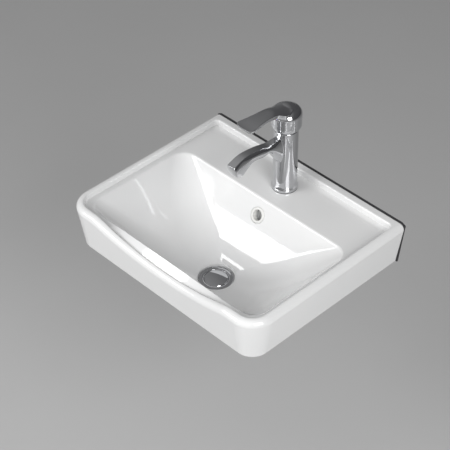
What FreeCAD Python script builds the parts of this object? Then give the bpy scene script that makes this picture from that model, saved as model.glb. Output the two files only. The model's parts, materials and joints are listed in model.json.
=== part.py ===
"""Wall hung basin: one glazed ceramic casting with its single-lever tap and push-open waste.

Frame: the origin is on the wall, midway between the two hanger bolts. +X points right when the
basin is seen from the front, +Y into the wall and +Z up. Sizes are millimetres and degrees.
Each piece is drawn from a datum of its own: the ceramic from its back plane and the top of its
rim, the tap's pieces from the tap axis and the shelf, the waste's pieces from the waste axis and
the top of its flange, and the hanger pieces from the wall and the bolt axis.
"""
import FreeCAD, Part
import math
import os
import re
import Sketcher

from FreeCAD import Placement, Rotation, Vector

SIZES = {
    # ceramic: outer shape
    "basin_width": 480,
    "basin_depth": 386,
    "skirt_height": 92,
    "skirt_draft": 9,
    "skirt_wall": 12,
    "front_corner_radius": 48,
    "skirt_foot_radius": 3,
    "rim_above_bolts": 55,
    "rim_width": 17,
    "rim_outer_radius": 11,
    "rim_inner_radius": 3,
    "rim_back_radius": 4,
    # ceramic: shelf, dip of the front rim and crescent slope behind it
    "shelf_depth": 13,
    "shelf_thickness": 14,
    "shelf_corner_radius": 10,
    "dip_chord": 330,
    "dip_depth": 22.5,
    "dip_blend_radius": 60,
    "crescent_chord": 274,
    "crescent_fall": 14,
    # ceramic: bowl
    "bowl_width": 422,
    "bowl_back": 115,
    "bowl_front": 354,
    "bowl_corner_radius": 30,
    "bowl_edge_radius": 5,
    "bowl_fall": 112,
    "bowl_side_power": 2.2,
    "bowl_front_power": 3,
    "bowl_wall": 9,
    "floor_radius": 36,
    "floor_fall": 2,
    # ceramic: holes, bosses and overflow duct
    "tap_from_back": 60,
    "tap_hole_radius": 17.5,
    "waste_from_back": 237,
    "waste_bore_radius": 23,
    "boss_radius": 36,
    "boss_height": 50,
    "overflow_below_rim": 42,
    "overflow_tilt": 62,
    "overflow_hole_radius": 12,
    "overflow_hole_length": 15,
    "duct_radius": 7,
    "duct_wall": 5,
    "overflow_boss_wall": 4.5,
    "overflow_flange_width": 3.6,
    "overflow_flange_margin": 0.4,
    "overflow_ring_wall": 1.4,
    "overflow_sleeve_length": 9,
    "hollow_back_radius": 8,
    "hollow_front_radius": 25,
    # hanger bolts and wall pad
    "wall_pad_thickness": 3,
    "pad_overhang": 1.5,
    "hanger_spacing": 280,
    "hanger_hole_radius": 9,
    "hanger_boss_radius": 22,
    "hanger_boss_length": 4,
    "hanger_radius": 5,
    "hanger_thread_radius": 4.5,
    "hanger_wall_length": 50,
    "hanger_tail_length": 44,
    "bush_flange_radius": 14,
    "bush_flange_thickness": 2,
    "hanger_washer_radius": 12,
    "hanger_washer_thickness": 2,
    "hanger_nut_radius": 9.8,
    "hanger_nut_height": 8,
    # tap body and spout
    "tap_height": 133,
    "tap_radius": 22.5,
    "tap_foot_radius": 24.5,
    "tap_foot_height": 5,
    "tap_foot_blend": 8,
    "base_seal_thickness": 1,
    "tap_recess_radius": 16,
    "tap_recess_height": 14,
    "inlet_radius": 4.5,
    "inlet_depth": 12,
    "inlet_spacing": 17,
    "inlet_offset": 4,
    "spout_reach": 140,
    "spout_root_height": 117,
    "spout_half_width": 12,
    "outlet_tilt": 12.2,
    "outlet_reach": 123.75,
    "outlet_height": 97,
    "spout_lip": 9.5,
    "spout_heel": 11,
    "spout_overhang": 2.1,
    "aerator_radius": 8,
    "aerator_wall": 1.2,
    "aerator_length": 7,
    "aerator_seal_thickness": 1.5,
    "aerator_insert_height": 4,
    # fixing under the shelf
    "fixing_stud_radius": 4,
    "fixing_stud_offset": 11,
    "fixing_stud_depth": 10,
    "fixing_stud_drop": 46,
    "fixing_seal_radius": 22,
    "fixing_seal_thickness": 3,
    "fixing_plate_thickness": 2.5,
    "fixing_slot_half_width": 14,
    "fixing_nut_radius": 7.5,
    "fixing_nut_height": 6.5,
    # cartridge, bonnet and lever
    "cartridge_radius": 17.5,
    "cartridge_drop": 29,
    "cartridge_seal_thickness": 1.2,
    "cartridge_seal_radius": 4.5,
    "cartridge_seal_bore": 3,
    "cartridge_neck_radius": 14.1,
    "cartridge_neck_rise": 3,
    "cartridge_nut_radius": 20,
    "cartridge_nut_drop": 9,
    "cartridge_nut_height": 7,
    "collar_radius": 11.5,
    "collar_length": 19.8,
    "stem_half_width": 4,
    "stem_drop": 9,
    "stem_rise": 34,
    "trunnion_radius": 2,
    "pivot_rise": 10,
    "bonnet_radius": 21.5,
    "bonnet_wall": 1.8,
    "bonnet_mouth_radius": 13,
    "hood_gap": 0.4,
    "hood_radius": 28,
    "hood_shoulder_rise": 20,
    "hood_crown_rise": 41,
    "lever_lift_angle": 20,
    "paddle_reach": 110,
    "paddle_half_width": 18.5,
    "paddle_rise": 47,
    "paddle_corner_radius": 8,
    "grub_screw_radius": 2,
    "grub_screw_length": 10,
    "grub_screw_rise": 25,
    "index_plug_radius": 3.5,
    "index_plug_length": 4,
    # waste
    "flange_radius": 32.5,
    "flange_drop": 2,
    "flange_edge_depth": 2.4,
    "flange_edge_land": 1.5,
    "flange_clearance": 1.5,
    "waste_tube_radius": 20.95,
    "waste_tube_bore": 18,
    "waste_tube_length": 98,
    "waste_tail_length": 30,
    "waste_mouth_radius": 23.2,
    "waste_slot_half_width": 7,
    "waste_slot_top": 20,
    "waste_slot_bottom": 40,
    "flange_seal_thickness": 3,
    "lower_seal_thickness": 4,
    "lower_seal_radius": 30,
    "waste_washer_thickness": 1.5,
    "back_nut_radius": 29,
    "back_nut_height": 9,
    "spider_top": 42,
    "spider_height": 8,
    "spider_hub_radius": 7,
    "spider_arm_width": 3,
    "click_radius": 8,
    "click_length": 28,
    "click_stud_radius": 4,
    "click_chamber_radius": 5.7,
    "click_neck": 4,
    "spindle_radius": 3.5,
    "spindle_collar_height": 3,
    "spring_length": 10.3,
    "spring_wire_radius": 0.5,
    "spring_turns": 5,
    "cap_radius": 22.25,
    "cap_thickness": 3,
    "cap_crown": 1.2,
    "cap_step_height": 2.9,
    "cap_step_width": 2.2,
    "cap_socket_depth": 1.1,
    "plug_seal_thickness": 3,
    # clearances
    "seat_gap": 0.1,
    "running_gap": 0.05,
    "body_gap": 0.3,
}

BOWL_LEVELS = (0, 0.1, 0.24, 0.51, 0.73, 0.88)

document = FreeCAD.newDocument("wall_hung_basin")
sheet = document.addObject("Spreadsheet::Sheet", "Sizes")


# ---------------------------------------------------------------- sizes and expressions

def fill_sheet():
    """Writes each driving size to the sheet under its own alias."""
    for row, (alias, size) in enumerate(SIZES.items(), 1):
        sheet.set(f"A{row}", alias)
        sheet.set(f"B{row}", str(size))
        sheet.setAlias(f"B{row}", alias)
    document.recompute()


def tied(text):
    """The expression with each alias written as a cell of the sheet."""
    return re.sub(r"[a-z]+(?:_[a-z0-9]+)+", r"Sizes.\g<0>", str(text))


def value(text):
    """The number that an expression comes to."""
    result = sheet.evalExpression(tied(text))
    return float(getattr(result, "Value", result))


def bind(thing, name, text):
    """Ties a property to an expression on the sheet."""
    thing.setExpression(name, tied(text))


# Datums of the pieces: where each group's own origin lies, as expressions.
BASIN_DATUM = ("0", "-wall_pad_thickness", "rim_above_bolts")
TAP_DATUM = ("0", "-wall_pad_thickness - tap_from_back", "rim_above_bolts - shelf_depth")
FLANGE_DEPTH = "(shelf_depth + bowl_fall + floor_fall + flange_drop)"
WASTE_DATUM = ("0", "-wall_pad_thickness - waste_from_back", f"rim_above_bolts - {FLANGE_DEPTH}")
HANGER_DATUM = ("hanger_spacing / 2", "0", "0")
PIVOT = "(tap_height + pivot_rise)"


# ---------------------------------------------------------------- modelling helpers

def new_body(label, datum, tilt="0"):
    """A body whose own origin is at the datum, turned about X by tilt."""
    body = document.addObject("PartDesign::Body", label)
    body.Label = label
    turned = Rotation(Vector(1, 0, 0), value(tilt))
    body.Placement = Placement(Vector(*(value(part) for part in datum)), turned)
    for axis, text in zip("xyz", datum):
        bind(body, f"Placement.Base.{axis}", text)
    return body


def plane_of(body, role):
    """One of the body's own origin planes."""
    return next(item for item in body.Origin.OriginFeatures if item.Role == role)


def sketch_on(body, name, role, lift="0"):
    """A sketch on an origin plane of the body, moved along the plane's normal by lift."""
    sketch = body.newObject("Sketcher::SketchObject", name)
    sketch.AttachmentSupport = [(plane_of(body, role), "")]
    sketch.MapMode = "FlatFace"
    sketch.AttachmentOffset = Placement(Vector(0, 0, value(lift)), Rotation())
    bind(sketch, "AttachmentOffset.Base.z", lift)
    return sketch


def spot(corner):
    """The point that a pair of expressions comes to in a sketch."""
    return Vector(value(corner[0]), value(corner[1]), 0)


def hold(sketch, item, end, corner):
    """Fixes one point of a sketch by its two coordinates."""
    for kind, text in zip(("DistanceX", "DistanceY"), corner):
        rule = Sketcher.Constraint(kind, -1, 1, item, end, value(text))
        number = sketch.addConstraint(rule)
        bind(sketch, f"Constraints[{number}]", text)


def add_arc(sketch, start, middle, finish):
    """An arc through a middle point; gives its number and which of its ends comes first."""
    ends = [spot(start), spot(finish)]
    leftward = (spot(middle) - ends[0]).cross(ends[1] - ends[0]).z > 0
    first, last = ends if leftward else ends[::-1]
    item = sketch.addGeometry(Part.Arc(first, spot(middle), last))
    mark = sketch.addGeometry(Part.Point(spot(middle)), True)
    hold(sketch, mark, 1, middle)
    sketch.addConstraint(Sketcher.Constraint("PointOnObject", mark, 1, item))
    return (item, 1, 2) if leftward else (item, 2, 1)


def draw(sketch, start, *moves):
    """Draws a closed outline from start. A move of two values is a line to that corner, and a
    move of four is an arc through its first point to its second."""
    corner, edges = start, []
    for move in moves:
        target = move[-2:]
        if len(move) == 4:
            edge = add_arc(sketch, corner, move[:2], target)
        else:
            edge = (sketch.addGeometry(Part.LineSegment(spot(corner), spot(target))), 1, 2)
        hold(sketch, edge[0], edge[1], corner)
        edges.append(edge)
        corner = target
    for edge, after in zip(edges, edges[1:] + edges[:1]):
        joined = Sketcher.Constraint("Coincident", edge[0], edge[2], after[0], after[1])
        sketch.addConstraint(joined)


def draw_circle(sketch, centre, radius):
    """Draws a circle about a centre."""
    circle = sketch.addGeometry(Part.Circle(spot(centre), Vector(0, 0, 1), value(radius)))
    hold(sketch, circle, 3, centre)
    size = sketch.addConstraint(Sketcher.Constraint("Radius", circle, value(radius)))
    bind(sketch, f"Constraints[{size}]", radius)


def tray(sketch, half, back, front, back_radius, front_radius):
    """Draws a plan outline, alike on both sides, from y = -back to y = -front."""
    cut_b = f"({back_radius}) * (1 - sqrt(0.5))"
    cut_f = f"({front_radius}) * (1 - sqrt(0.5))"
    half_b, half_f = f"({half} - ({back_radius}))", f"({half} - ({front_radius}))"
    y_back, y_front = f"-({back} + {back_radius})", f"-({front} - ({front_radius}))"
    draw(
        sketch,
        (f"-{half_b}", f"-({back})"),
        (half_b, f"-({back})"),
        (f"{half} - {cut_b}", f"-({back} + {cut_b})", half, y_back),
        (half, y_front),
        (f"{half} - {cut_f}", f"-({front} - {cut_f})", half_f, f"-({front})"),
        (f"-{half_f}", f"-({front})"),
        (f"-({half} - {cut_f})", f"-({front} - {cut_f})", f"-({half})", y_front),
        (f"-({half})", y_back),
        (f"-({half} - {cut_b})", f"-({back} + {cut_b})", f"-{half_b}", f"-({back})"),
    )


def finish(body, feature, before=None):
    """Makes the feature the body's last, recomputes it and checks that it did its work."""
    body.Tip = feature
    document.recompute()
    if feature.State != ["Up-to-date"] or feature.Shape.isNull() or not feature.Shape.isValid():
        raise RuntimeError(f"{body.Label}.{feature.Name} failed: {feature.State}")
    if before is not None and abs(feature.Shape.Volume - before) < 1e-6:
        raise RuntimeError(f"{body.Label}.{feature.Name} changes nothing")
    return feature


def volume(body):
    """Volume of the body so far."""
    return body.Tip.Shape.Volume if body.Tip else 0.0


def pull(body, name, sketch, length, cut=False, both=False, taper=None):
    """Pads a sketch along its normal, or pockets it against the normal."""
    before = volume(body)
    feature = body.newObject("PartDesign::Pocket" if cut else "PartDesign::Pad", name)
    feature.Profile = sketch
    feature.Length = value(length)
    bind(feature, "Length", length)
    feature.Midplane = both
    if taper:
        feature.TaperAngle = value(taper)
        bind(feature, "TaperAngle", taper)
    return finish(body, feature, before)


def spin(body, name, sketch, cut=False):
    """Turns a sketch round its own upright axis."""
    before = volume(body)
    feature = body.newObject("PartDesign::Groove" if cut else "PartDesign::Revolution", name)
    feature.Profile = sketch
    feature.ReferenceAxis = (sketch, ["V_Axis"])
    feature.Angle = 360
    return finish(body, feature, before)


def dome_arc(radius, foot, rise):
    """Arc of a ball centred on the axis, from a radius and height up to its top on the axis."""
    ball = f"((({radius}) ^ 2 + ({rise}) ^ 2) / (2 * ({rise})))"
    half_way = f"{foot} + {rise} - {ball} + sqrt({ball} ^ 2 - ({radius}) ^ 2 / 4)"
    return (f"({radius}) / 2", half_way, "0", f"{foot} + {rise}")


def turned_piece(body, name, *outline, lift="0", cut=False):
    """Turns an outline of radius and height round the body's Z axis."""
    sketch = sketch_on(body, f"{name}_profile", "XZ_Plane", lift)
    draw(sketch, *outline)
    return spin(body, name, sketch, cut)


def loft(body, name, sections, cut=False, ruled=False):
    """Lofts through sketches, as material or as a cut."""
    before = volume(body)
    kind = "PartDesign::SubtractiveLoft" if cut else "PartDesign::AdditiveLoft"
    feature = body.newObject(kind, name)
    feature.Profile = sections[0]
    feature.Sections = sections[1:]
    feature.Ruled = ruled
    return finish(body, feature, before)


def solid_of(body, kind, name, sizes, at=("0", "0", "0"), tilt="0", cut=False):
    """A primitive of the body at a place, its Z axis turned about X by tilt."""
    before = volume(body)
    side = "Subtractive" if cut else "Additive"
    feature = body.newObject(f"PartDesign::{side}{kind}", name)
    feature.AttachmentSupport = [(plane_of(body, "XY_Plane"), "")]
    feature.MapMode = "FlatFace"
    place = Vector(*(value(part) for part in at))
    feature.AttachmentOffset = Placement(place, Rotation(Vector(1, 0, 0), value(tilt)))
    for axis, text in zip("xyz", at):
        bind(feature, f"AttachmentOffset.Base.{axis}", text)
    for size, text in sizes.items():
        setattr(feature, size, value(text))
        bind(feature, size, text)
    return finish(body, feature, before)


def rod(body, name, radius, low, high, at=("0", "0"), cut=False):
    """An upright cylinder from height low to height high."""
    sizes = {"Radius": radius, "Height": f"({high}) - ({low})"}
    return solid_of(body, "Cylinder", name, sizes, (at[0], at[1], low), cut=cut)


def washer(label, datum, outer, inner, low, high, tilt="0"):
    """A plain ring between two heights."""
    body = new_body(label, datum, tilt)
    rod(body, "disc", outer, low, high)
    rod(body, "hole", inner, f"({low}) - 1", f"({high}) + 1", cut=True)
    return body


def hex_nut(label, datum, radius, bore, low, height, tilt="0"):
    """A hexagonal nut standing on height low."""
    body = new_body(label, datum, tilt)
    sizes = {"Circumradius": radius, "Height": height}
    solid_of(body, "Prism", "hexagon", sizes, ("0", "0", low))
    rod(body, "bore", bore, f"({low}) - 1", f"({low}) + ({height}) + 1", cut=True)
    return body


def round_edges(body, name, radius, wanted):
    """Rounds the edges of the last feature that the test picks."""
    base = body.Tip
    names = [f"Edge{i}" for i, edge in enumerate(base.Shape.Edges, 1) if wanted(edge)]
    if not names:
        raise RuntimeError(f"{body.Label}.{name} found no edge")
    before = volume(body)
    feature = body.newObject("PartDesign::Fillet", name)
    feature.Base = (base, names)
    feature.Radius = value(radius)
    bind(feature, "Radius", radius)
    return finish(body, feature, before)


def repeat_round(body, name, feature, count):
    """Repeats a feature evenly round the body's Z axis."""
    before = volume(body)
    ring = body.newObject("PartDesign::PolarPattern", name)
    ring.Originals = [feature]
    ring.Axis = (plane_of(body, "Z_Axis"), [""])
    ring.Angle = 360
    ring.Occurrences = count
    return finish(body, ring, before)


def samples(edge):
    """Five points along an edge."""
    low, high = edge.ParameterRange
    return [edge.valueAt(low + (high - low) * share / 4) for share in range(5)]


def mirrored_pair(label, body):
    """The piece and its mirror image across the basin's middle plane, as one node."""
    twin = document.addObject("Part::Mirroring", f"{label}_left")
    twin.Source = body
    twin.Normal = Vector(1, 0, 0)
    return grouped(label, [body, twin])


def grouped(label, pieces):
    """Identical pieces as one node of separate solids."""
    group = document.addObject("Part::Compound", label)
    group.Label = label
    group.Links = pieces
    return group


# ---------------------------------------------------------------- ceramic basin

def skirt_section(body, name, depth):
    """Plan outline of the drafted skirt at a depth below the rim; its back stays upright."""
    drawn_in = f"({depth}) * tan(skirt_draft)"
    sketch = sketch_on(body, name, "XY_Plane", f"-({depth})")
    half, front = f"(basin_width / 2 - {drawn_in})", f"(basin_depth - {drawn_in})"
    radius = f"(front_corner_radius - {drawn_in})"
    cut = f"{radius} * (1 - sqrt(0.5))"
    draw(
        sketch,
        (f"-{half}", "0"),
        (half, "0"),
        (half, f"-({front} - {radius})"),
        (f"{half} - {cut}", f"-({front} - {cut})", f"{half} - {radius}", f"-{front}"),
        (f"-({half} - {radius})", f"-{front}"),
        (f"-({half} - {cut})", f"-({front} - {cut})", f"-{half}", f"-({front} - {radius})"),
        (f"-{half}", "0"),
    )
    return sketch


def skirt_distance(point):
    """Distance in plan from the drafted outside of the skirt, for a point in the basin's frame."""
    drawn_in = -point.z * math.tan(math.radians(value("skirt_draft")))
    radius = value("front_corner_radius") - drawn_in
    across = abs(point.x) - (value("basin_width / 2 - front_corner_radius"))
    forward = -point.y - value("basin_depth - front_corner_radius")
    if across > 0 and forward > 0:
        return abs(math.hypot(across, forward) - radius)
    return min(abs(across - radius), abs(forward - radius))


def bowl_section(body, name, level, grow):
    """Plan outline of the bowl at a share of its fall, grown and lowered by the wall."""
    left = f"pow(1 - {level}; 1 / bowl_side_power)"
    ahead = f"pow(1 - {level}; 1 / bowl_front_power)"
    half = f"(bowl_width / 2 * {left} + {grow})"
    back = f"(waste_from_back - (waste_from_back - bowl_back) * {left} - {grow})"
    front = f"(waste_from_back + (bowl_front - waste_from_back) * {ahead} + {grow})"
    widest = f"0.9 * min({half}; ({front} - {back}) / 2)"
    radius = f"(bowl_corner_radius + ({widest} - bowl_corner_radius) * {level})"
    sketch = sketch_on(body, name, "XY_Plane", f"-(shelf_depth + bowl_fall * {level} + {grow})")
    tray(sketch, half, back, front, radius, radius)
    return sketch


def floor_section(body, name, grow):
    """Near-round outline of the bowl's floor at the edge of the waste recess."""
    half = f"(floor_radius + {grow})"
    sketch = sketch_on(
        body, name, "XY_Plane", f"-(shelf_depth + bowl_fall + floor_fall + {grow})"
    )
    tray(sketch, half, f"(waste_from_back - {half})", f"(waste_from_back + {half})",
         f"0.93 * {half}", f"0.93 * {half}")
    return sketch


def bowl_loft(body, name, grow, cut):
    """The bowl's inside as a cut, or its outside as material, grown by the wall."""
    sections = [bowl_section(body, f"{name}_{i}", level, grow)
                for i, level in enumerate(BOWL_LEVELS)]
    sections.append(floor_section(body, f"{name}_floor", grow))
    return loft(body, name, sections, cut)


def skirt_and_rim(body):
    """Outer block: drafted skirt, front rim that dips in a soft arc, rounded rim."""
    loft(body, "skirt", [skirt_section(body, "skirt_top", "0"),
                         skirt_section(body, "skirt_foot", "skirt_height")], ruled=True)
    round_edges(body, "foot_edge", "skirt_foot_radius", lambda edge: all(
        abs(p.z + value("skirt_height")) < 0.01 for p in samples(edge))
        and not all(abs(p.y) < 0.01 for p in samples(edge)))
    dip = sketch_on(body, "dip_profile", "XZ_Plane", "basin_depth + 5")
    draw(dip, ("-dip_chord / 2", "0"), ("0", "-dip_depth", "dip_chord / 2", "0"),
         ("dip_chord / 2", "20"), ("-dip_chord / 2", "20"), ("-dip_chord / 2", "0"))
    pull(body, "front_dip", dip, "rim_width + 7", cut=True)
    half_dip = value("dip_chord / 2")
    round_edges(body, "dip_ends", "dip_blend_radius", lambda edge: all(
        abs(abs(p.x) - half_dip) < 0.01 and abs(p.z) < 0.01 for p in samples(edge)))
    lowest = -value("dip_depth") - 1
    round_edges(body, "rim_outside", "rim_outer_radius", lambda edge: all(
        p.z > lowest and skirt_distance(p) < 0.05 for p in samples(edge))
        and not all(p.y > -0.01 for p in samples(edge)))
    round_edges(body, "rim_back", "rim_back_radius", lambda edge: all(
        abs(p.y) < 0.01 and abs(p.z) < 0.01 for p in samples(edge)))


def underside(body):
    """Hollow under the shelf, then the bowl's outer wall and the bosses that stand in it."""
    ceiling = "(shelf_depth + shelf_thickness)"
    top = sketch_on(body, "hollow_ceiling", "XY_Plane", f"-{ceiling}")
    tray(top, "(basin_width / 2 - 2 * skirt_wall)", "skirt_wall", "(bowl_front - 10)",
         "hollow_back_radius", "hollow_front_radius")
    drawn_in = "(skirt_height + 1) * tan(skirt_draft)"
    foot = sketch_on(body, "hollow_foot", "XY_Plane", "-(skirt_height + 1)")
    tray(foot, f"(basin_width / 2 - skirt_wall - {drawn_in})", "skirt_wall",
         f"(basin_depth - skirt_wall - {drawn_in})", "hollow_back_radius",
         "hollow_front_radius - 3")
    loft(body, "hollow", [top, foot], cut=True, ruled=True)
    bowl_loft(body, "bowl_outside", "bowl_wall", cut=False)
    rod(body, "waste_boss", "boss_radius", f"-({FLANGE_DEPTH} + boss_height)",
        f"-({FLANGE_DEPTH} - 5)", ("0", "-waste_from_back"))
    for side in (-1, 1):
        solid_of(body, "Cylinder", f"hanger_boss_{side + 1}",
                 {"Radius": "hanger_boss_radius", "Height": "skirt_wall + hanger_boss_length"},
                 (f"{side} * hanger_spacing / 2", "0", "-rim_above_bolts"), "90")


def overflow_seat():
    """Point on the bowl's back wall at the middle of the overflow hole, as expressions."""
    level = "(overflow_below_rim - shelf_depth) / bowl_fall"
    share = f"pow(1 - {level}; 1 / bowl_side_power)"
    back = f"(waste_from_back - (waste_from_back - bowl_back) * {share})"
    return ("0", f"-{back}", "-overflow_below_rim")


def along_overflow(distance):
    """Point on the overflow hole's axis, a distance out of the wall, in the basin's frame."""
    _, y_seat, z_seat = overflow_seat()
    return ("0", f"{y_seat} - ({distance}) * sin(overflow_tilt)",
            f"{z_seat} + ({distance}) * cos(overflow_tilt)")


def overflow_part(body, name, radius, start, length, cut):
    """A cylinder on the overflow hole's axis."""
    sizes = {"Radius": radius, "Height": length}
    solid_of(body, "Cylinder", name, sizes, along_overflow(start), "overflow_tilt", cut)


def duct_path():
    """Arc of the overflow duct, from behind the hole, round the bowl's back, to the waste."""
    start = along_overflow("-overflow_hole_length + duct_radius / 2")
    y_end, z_end = "-(waste_from_back - 15)", f"-({FLANGE_DEPTH} + waste_slot_top + 10)"
    y_mid = f"(({start[1]}) * 0.68 + ({y_end}) * 0.32)"
    z_mid = f"(({start[2]}) * 0.4 + ({z_end}) * 0.6)"
    return (start[1:], (y_mid, z_mid), (y_end, z_end))


def duct(body, name, radius, cut):
    """Round pipe along the duct's arc, as the outer wall or as the channel."""
    before = volume(body)
    ends = [spot(corner) for corner in duct_path()]
    spine = sketch_on(body, f"{name}_path", "YZ_Plane")
    add_arc(spine, *duct_path())
    inwards = Part.Circle(*ends).Center - ends[0]
    lean = math.degrees(math.atan2(inwards.y, inwards.x))
    ring = body.newObject("Sketcher::SketchObject", f"{name}_ring")
    ring.AttachmentSupport = [(plane_of(body, "XY_Plane"), "")]
    ring.MapMode = "FlatFace"
    ring.AttachmentOffset = Placement(Vector(0, ends[0].x, ends[0].y),
                                      Rotation(Vector(1, 0, 0), lean))
    draw_circle(ring, ("0", "0"), radius)
    kind = "PartDesign::SubtractivePipe" if cut else "PartDesign::AdditivePipe"
    feature = body.newObject(kind, name)
    feature.Profile = ring
    feature.Spine = spine
    return finish(body, feature, before)


def shelf_and_bowl(body):
    """Sunk shelf, crescent slope behind the dipped rim, and the bowl."""
    shelf = sketch_on(body, "shelf_plan", "XY_Plane")
    tray(shelf, "(basin_width / 2 - rim_width)", "rim_width", "(basin_depth - rim_width)",
         "shelf_corner_radius", "(front_corner_radius - rim_width)")
    pull(body, "shelf", shelf, "shelf_depth", cut=True)
    bowl_loft(body, "bowl", "0", cut=True)
    half, level = value("bowl_width / 2") + 0.01, -value("shelf_depth")
    reach = value("bowl_front") + 0.01
    round_edges(body, "bowl_edge", "bowl_edge_radius", lambda edge: all(
        abs(p.z - level) < 0.01 and abs(p.x) < half and p.y > -reach for p in samples(edge)))
    end, level = "crescent_chord / 2", "-shelf_depth"
    rim = sketch_on(body, "crescent_at_rim", "XZ_Plane", "basin_depth - rim_width")
    draw(rim, (f"-{end}", level), ("0", "-(shelf_depth + crescent_fall)", end, level),
         (end, "1"), (f"-{end}", "1"), (f"-{end}", level))
    ridge = sketch_on(body, "crescent_at_ridge", "XZ_Plane", "bowl_front")
    draw(ridge, (f"-{end}", level), (end, level), (end, "1"), (f"-{end}", "1"),
         (f"-{end}", level))
    loft(body, "crescent", [rim, ridge], cut=True, ruled=True)


def ceramic_holes(body):
    """Tap hole, waste seat and bore, hanger holes, overflow hole and its channel."""
    rod(body, "tap_hole", "tap_hole_radius", "-(shelf_depth + shelf_thickness + 1)",
        "-shelf_depth + 1", ("0", "-tap_from_back"), cut=True)
    seat = "(flange_radius + flange_clearance)"
    top, edge = f"-({FLANGE_DEPTH} - 10)", f"({FLANGE_DEPTH} + flange_edge_depth)"
    low = f"-({FLANGE_DEPTH} + boss_height + 1)"
    turned_piece(
        body, "waste_seat", ("0", top), (seat, top), (seat, f"-{edge}"),
        ("waste_bore_radius", f"-({edge} + {seat} - waste_bore_radius)"),
        ("waste_bore_radius", low), ("0", low), ("0", top),
        lift="waste_from_back", cut=True)
    for side in (-1, 1):
        sizes = {"Radius": "hanger_hole_radius", "Height": "skirt_wall + hanger_boss_length + 2"}
        solid_of(body, "Cylinder", f"hanger_hole_{side + 1}", sizes,
                 (f"{side} * hanger_spacing / 2", "1", "-rim_above_bolts"), "90", cut=True)
    overflow_part(body, "overflow_hole", "overflow_hole_radius", "-overflow_hole_length",
                  "overflow_hole_length + 6", cut=True)
    spot_face = "overflow_hole_radius + overflow_flange_width + overflow_flange_margin"
    overflow_part(body, "overflow_spotface", spot_face, "-1", "8", cut=True)
    duct(body, "overflow_channel", "duct_radius", cut=True)


def wall_distance(point):
    """Distance in plan from the upright wall between rim and shelf, in the basin's frame."""
    radius = value("front_corner_radius - rim_width")
    across = abs(point.x) - value("basin_width / 2 - rim_width") + radius
    forward = -point.y - value("basin_depth - rim_width") + radius
    if across > 0 and forward > 0:
        return abs(math.hypot(across, forward) - radius)
    return min(abs(across - radius), abs(forward - radius), abs(point.y + value("rim_width")))


def soften_inner_edges(body):
    """Rounds the rim's inner edge and the edge where the bowl leaves the shelf."""
    shelf = -value("shelf_depth")
    back_radius = value("shelf_corner_radius")

    def on_rim(point):
        """Whether a point lies on the rim's inner top edge."""
        near_back = point.y > -value("rim_width") - back_radius - 0.01
        return point.z > shelf + 0.5 and (near_back or wall_distance(point) < 0.02)

    inside = value("basin_width / 2 - rim_width") + 0.01
    round_edges(body, "rim_inside", "rim_inner_radius", lambda edge: all(
        on_rim(p) and abs(p.x) < inside and p.y < -value("rim_width") + 0.01
        for p in samples(edge)) and abs(edge.Vertexes[0].Z - edge.Vertexes[-1].Z) < 10)


def basin_body():
    """The ceramic casting."""
    body = new_body("basin_body", BASIN_DATUM)
    skirt_and_rim(body)
    underside(body)
    boss = "overflow_hole_length + overflow_boss_wall"
    overflow_part(body, "overflow_boss", "overflow_hole_radius + overflow_boss_wall",
                  f"-({boss})", boss, cut=False)
    duct(body, "overflow_duct", "duct_radius + duct_wall", cut=False)
    shelf_and_bowl(body)
    ceramic_holes(body)
    soften_inner_edges(body)
    return body


# ---------------------------------------------------------------- overflow trim, pad, hangers

def overflow_ring():
    """Trim ring: domed flange on the spot face, sleeve clipped in the hole."""
    seat = overflow_seat()
    datum = (BASIN_DATUM[0], f"{BASIN_DATUM[1]} + {seat[1]}", f"{BASIN_DATUM[2]} + {seat[2]}")
    body = new_body("overflow_ring", datum, "overflow_tilt")
    outer = "(overflow_hole_radius + overflow_flange_width)"
    sleeve, end = "(overflow_hole_radius - 3 * seat_gap)", "-overflow_sleeve_length"
    mouth = f"({sleeve} - overflow_ring_wall)"
    turned_piece(
        body, "ring", (mouth, "0.9"), (f"{mouth} + 0.7", "1.5", f"{mouth} + 2", "1.6"),
        (f"{outer} - 0.7", "0.9", outer, "-0.3"), (outer, "-1"), (sleeve, "-1"),
        (sleeve, end), (mouth, end), (mouth, "0.9"))
    return body


def wall_pad():
    """Thin dark pad between ceramic and wall, with clear holes round the hanger bolts."""
    body = new_body("wall_pad", ("0", "0", "rim_above_bolts"))
    sketch = sketch_on(body, "outline", "XZ_Plane")
    half, foot = "(basin_width / 2)", "(basin_width / 2 - skirt_height * tan(skirt_draft))"
    draw(sketch,
         (f"-({foot} + pad_overhang)", "-(skirt_height + pad_overhang)"),
         (f"{foot} + pad_overhang", "-(skirt_height + pad_overhang)"),
         (f"{half} + pad_overhang - rim_back_radius", "-rim_back_radius"),
         (f"{half} - rim_outer_radius", "0"), (f"-({half} - rim_outer_radius)", "0"),
         (f"-({half} + pad_overhang - rim_back_radius)", "-rim_back_radius"),
         (f"-({foot} + pad_overhang)", "-(skirt_height + pad_overhang)"))
    pull(body, "sheet", sketch, "wall_pad_thickness")
    for side in (-1, 1):
        sizes = {"Radius": "hanger_hole_radius - 1", "Height": "wall_pad_thickness + 2"}
        solid_of(body, "Cylinder", f"hole_{side + 1}", sizes,
                 (f"{side} * hanger_spacing / 2", "1", "-rim_above_bolts"), "90", cut=True)
    return body


# Depths along a hanger bolt, counted from the wall towards the room.
BOSS_FACE = "(wall_pad_thickness + skirt_wall + hanger_boss_length)"
BUSH_FACE = f"({BOSS_FACE} + bush_flange_thickness)"
WASHER_FACE = f"({BUSH_FACE} + hanger_washer_thickness)"
HANGER_TILT = "-90"


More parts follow.
